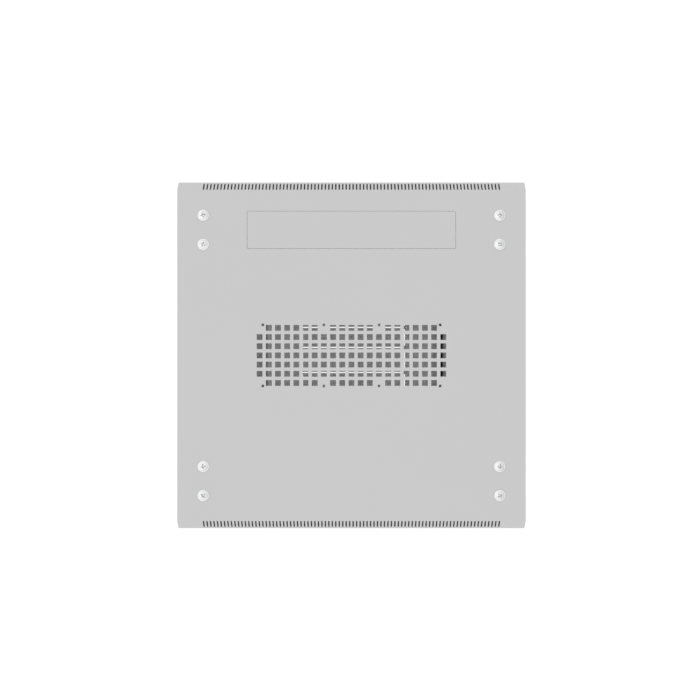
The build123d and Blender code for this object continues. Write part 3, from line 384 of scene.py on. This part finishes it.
def thread_rings(place, low_z, high_z):
    """Rings up a screw thread, which runs out to its root at the top."""
    rings = []
    count = round((high_z - low_z) / THREAD_PITCH * THREAD_STEPS)
    for index in range(count + 1):
        turns_up = index / THREAD_STEPS
        run_out = max(0.0, 1.0 - (count - index) / THREAD_STEPS)

        def thread(turn, turns_up=turns_up, run_out=run_out):
            crest = 1.0 - abs(2.0 * ((turns_up - turn) % 1.0) - 1.0)
            return THREAD_R - THREAD_DEPTH * max(1.0 - crest, run_out)

        rings.append(ring(place, low_z + (high_z - low_z) * index / count, thread))
    return rings


def levelling_foot(where):
    """A moulded pad and a plated stem: cone, spanner flats and an M12 thread."""
    node = f"levelling_foot_{where}"
    low, high = box_mm(node)
    place = ((low[0] + high[0]) / 2, (low[1] + high[1]) / 2)
    pad = skin([ring(place, z, lambda turn, r=radius: r) for radius, z in PAD_PROFILE])
    pad = add_piece(f"foot_pad_{where}", *pad, "black_plastic", node)
    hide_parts(node)

    flats_low, flats_high = FLATS_Z
    rings = [
        ring(place, CONE_Z, lambda turn: CONE_LOW_R),
        ring(place, flats_low, lambda turn: CONE_TOP_R),
        ring(place, flats_low + FLATS_EDGE, eased_hexagon),
        ring(place, flats_low + FLATS_CHAMFER, hexagon),
        ring(place, flats_high - FLATS_CHAMFER, hexagon),
        ring(place, flats_high, eased_hexagon),
    ]
    rings += thread_rings(place, flats_high, high[2])
    stem = add_piece(f"foot_stem_{where}", *skin(rings), "bright_fastener", node)
    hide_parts(node)


def foam_strip(start, end, across, facing, width, height):
    """A D-shaped foam strip between two points on a face that looks along facing."""
    rings = []
    for place in (start, end):
        points = []
        for step in range(FOAM_STEPS + 1):
            angle = math.pi * step / FOAM_STEPS
            side, rise = width / 2 * math.cos(angle), height * math.sin(angle) ** FOAM_FULLNESS
            points.append(tuple(p + side * a + rise * f for p, a, f in zip(place, across, facing)))
        rings.append(points)
    return skin(rings)


def door_gasket(name, side, keeper_gap, post_node):
    """Foam on the frame behind a door; side is -1 at the front, where the latch is at +X.

    The strip beside the hinges is thin, to leave room for the edge of the opened door.
    """
    low_z, high_z = GASKET_Z
    post_low, post_high = box_mm(post_node)
    y = post_low[1] if side < 0 else post_high[1]
    facing = (0, side, 0)
    level, up = (1, 0, 0), (0, 0, 1)
    hinge, latch = side * GASKET_HINGE_X, -side * GASKET_LATCH_X
    hinge_end = side * GASKET_HINGE_END_X
    strips = []
    for z in (low_z, high_z):
        strips.append(foam_strip((hinge_end, y, z), (latch, y, z), up, facing, *GASKET_FULL))
    strips.append(foam_strip((hinge, y, low_z), (hinge, y, high_z), level, facing, *GASKET_THIN))
    half_width = GASKET_FULL[0] / 2
    spans = ((low_z + half_width, keeper_gap[0]), (keeper_gap[1], high_z - half_width))
    for start, end in spans:
        strips.append(foam_strip((latch, y, start), (latch, y, end), level, facing, *GASKET_FULL))
    add_piece(name, *join(*strips), "seal_rubber", "cabinet")


def rounded_loop(half_w, half_h, radius, y, middle_z):
    """A rounded rectangle in a plane across Y, round x = 0."""
    points = []
    for corner, (sx, sz) in enumerate(((1, 1), (-1, 1), (-1, -1), (1, -1))):
        for step in range(CORNER_STEPS + 1):
            angle = math.pi / 2 * (corner + step / CORNER_STEPS)
            x = sx * (half_w - radius) + radius * math.cos(angle)
            z = middle_z + sz * (half_h - radius) + radius * math.sin(angle)
            points.append((x, y, z))
    return points


def glass_border():
    """The black band fired onto the inside of the door glass, round its edge."""
    low, high = box_mm("front_door_glass")
    half_w, half_h = (high[0] - low[0]) / 2, (high[2] - low[2]) / 2
    middle_z = (low[2] + high[2]) / 2
    near = high[1] + BORDER_GAP
    far = near + BORDER_T
    outer = (half_w - BORDER_INSET, half_h - BORDER_INSET, BORDER_OUTER_R)
    inner = (half_w - BORDER_BAND, half_h - BORDER_BAND, BORDER_INNER_R)
    loops = [
        rounded_loop(*edge, y, middle_z)
        for edge, y in ((outer, near), (outer, far), (inner, far), (inner, near))
    ]
    add_piece("glass_border", *skin(loops, ring_shaped=True), "black_plastic", "front_door")


def add_pieces():
    for where in ("front_left", "front_right", "rear_left", "rear_right"):
        levelling_foot(where)
    low, high = box_mm("latch_keepers")
    keeper_gap = (low[2] - KEEPER_CLEARANCE, high[2] + KEEPER_CLEARANCE)
    door_gasket("front_door_gasket", -1, keeper_gap, "post_front_right")
    door_gasket("rear_door_gasket", 1, keeper_gap, "post_rear_left")
    glass_border()


add_pieces()


# ---------------------------------------------------------------- floor and light
WHITE = (1.0, 1.0, 1.0, 1.0)
FLOOR_SIZE = 80.0
FLOOR_GLOW = 0.70
FILL_POWER = 0.78  # watts in each panel
FILL_DEPTH = 0.36
FILL_INSET = 0.0065  # in from the outer faces of the depth beams
SKY_HORIZON = 0.787
SKY_SLOPES = {"Z": 0.32, "X": -0.18}  # change of strength along each axis


def add_floor():
    mesh = bpy.data.meshes.new("studio_floor")
    half = FLOOR_SIZE / 2
    corners = [(-half, -half, 0), (half, -half, 0), (half, half, 0), (-half, half, 0)]
    mesh.from_pydata(corners, [], [(0, 1, 2, 3)])
    floor = bpy.data.objects.new("studio_floor", mesh)
    scene.collection.objects.link(floor)
    m = Material(
        "studio_floor",
        Specular_IOR_Level=0.1,
        Emission_Strength=FLOOR_GLOW,
        Emission_Color=WHITE,
    )
    m.color(m.ramp(m.noise(3.0), ((0.3, grey(0.36)), (0.7, grey(0.38)))))
    m.roughness(m.range(m.noise(8.0), 0.75, 0.85))
    mesh.materials.append(m.material)


def add_world():
    """A white studio, brighter overhead than at the horizon, and from the left."""
    world = bpy.data.worlds.new("studio")
    scene.world = world
    world.use_nodes = True
    tree = world.node_tree
    direction = tree.nodes.new("ShaderNodeTexCoord").outputs["Generated"]
    split = tree.nodes.new("ShaderNodeSeparateXYZ")
    tree.links.new(direction, split.inputs["Vector"])
    strength = None
    for axis, slope in SKY_SLOPES.items():
        term = tree.nodes.new("ShaderNodeMath")
        term.operation = "MULTIPLY_ADD"
        term.inputs[1].default_value = slope
        term.inputs[2].default_value = SKY_HORIZON
        tree.links.new(split.outputs[axis], term.inputs[0])
        if strength:
            tree.links.new(strength, term.inputs[2])
        strength = term.outputs["Value"]
    tree.links.new(strength, tree.nodes["Background"].inputs["Strength"])
    tree.nodes["Background"].inputs["Color"].default_value = WHITE


def add_interior_fill():
    """Two large, weak panels of light inside the cabinet, along its side walls.

    They lighten what shows through the grille, and stand for no real lamp.
    """
    low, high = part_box("mounting_rail_front_left")
    panel_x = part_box("depth_beams_right")[1][0] - FILL_INSET
    for side in (-1, 1):
        data = bpy.data.lights.new("interior_fill", "AREA")
        data.shape = "RECTANGLE"
        data.size = high[2] - low[2]
        data.size_y = FILL_DEPTH
        data.energy = FILL_POWER
        light = bpy.data.objects.new("interior_fill", data)
        light.location = (side * panel_x, 0, (low[2] + high[2]) / 2)
        light.rotation_euler = (0, side * math.pi / 2, 0)
        light.visible_camera = False
        light.visible_glossy = False
        light.visible_transmission = False
        scene.collection.objects.link(light)


add_floor()
add_world()
add_interior_fill()
